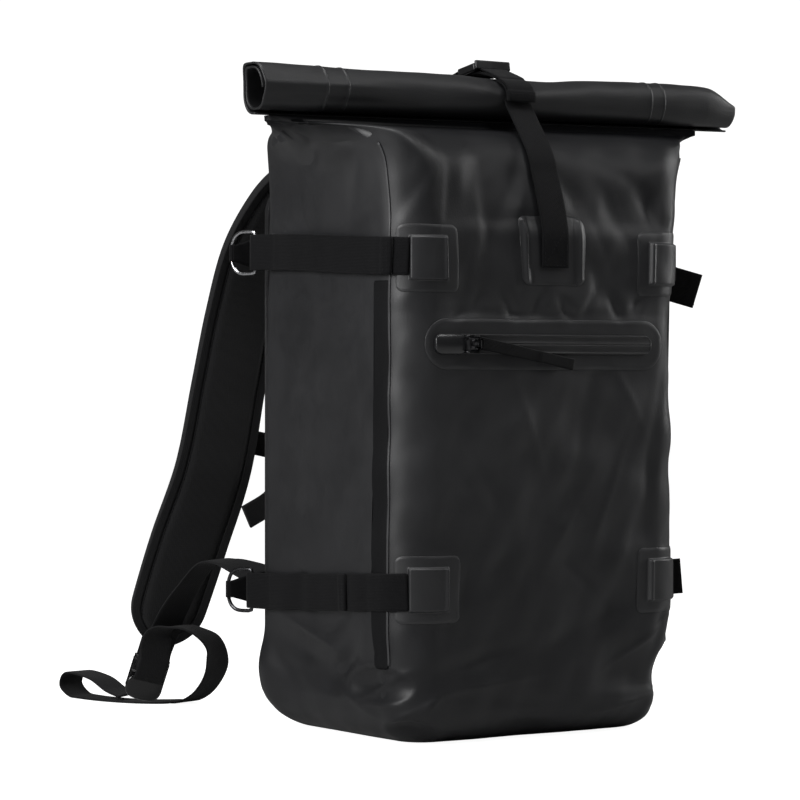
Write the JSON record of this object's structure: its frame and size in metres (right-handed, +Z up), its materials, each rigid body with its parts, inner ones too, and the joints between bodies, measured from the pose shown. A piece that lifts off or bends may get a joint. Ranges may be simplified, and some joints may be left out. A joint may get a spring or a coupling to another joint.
{
  "type": "roll-top backpack",
  "caption": "Roll-top backpack standing on its base, with a rolled mouth held by a buckled strap, a front zip, side lash straps, padded shoulder straps and a chest strap",
  "frame": {"origin": "middle of the flat base, where the bag stands on the ground", "axes": "+Z up, -Y the side with the zip, +X to the right of a person looking at that side"},
  "size_m": [0.446, 0.4916, 0.5236],
  "materials": {
    "coated": "coated ripstop, satin",
    "coated_dark": "coated, satin",
    "webbing": "woven, matte",
    "padding": "mesh, matte",
    "plastic": "satin",
    "metal": "polished"
  },
  "bodies": {
    "root": {"shell": "coated", "roll_top": "coated", "closure_patch": "coated", "zip_backing": "coated", "lash_patch_upper_left": "coated", "lash_patch_lower_left": "coated", "lash_patch_upper_right": "coated", "lash_patch_lower_right": "coated", "seam_tape_left": "coated_dark", "seam_tape_right": "coated_dark", "zip_tape": "coated_dark", "zip_garage": "coated_dark", "lash_strap_upper_left": "webbing", "lash_strap_lower_left": "webbing", "lash_strap_upper_right": "webbing", "lash_strap_lower_right": "webbing", "ring_tab_upper_left": "webbing", "ring_tab_lower_left": "webbing", "ring_tab_upper_right": "webbing", "ring_tab_lower_right": "webbing", "closure_strap": "webbing", "closure_strap_rear": "webbing", "zip_puller": "webbing", "pad_webbing_left": "webbing", "pad_webbing_right": "webbing", "adjuster_left": "webbing", "adjuster_right": "webbing", "sternum_strap_left": "webbing", "sternum_strap_right": "webbing", "sternum_tail": "webbing", "back_pad": "padding", "shoulder_pad_left": "padding", "shoulder_pad_right": "padding", "closure_buckle": "plastic", "ladder_lock_left": "plastic", "ladder_lock_right": "plastic", "sternum_buckle": "plastic", "d_ring_upper_left": "metal", "d_ring_lower_left": "metal", "d_ring_upper_right": "metal", "d_ring_lower_right": "metal", "zip_slider": "metal"}
  },
  "joints": []
}
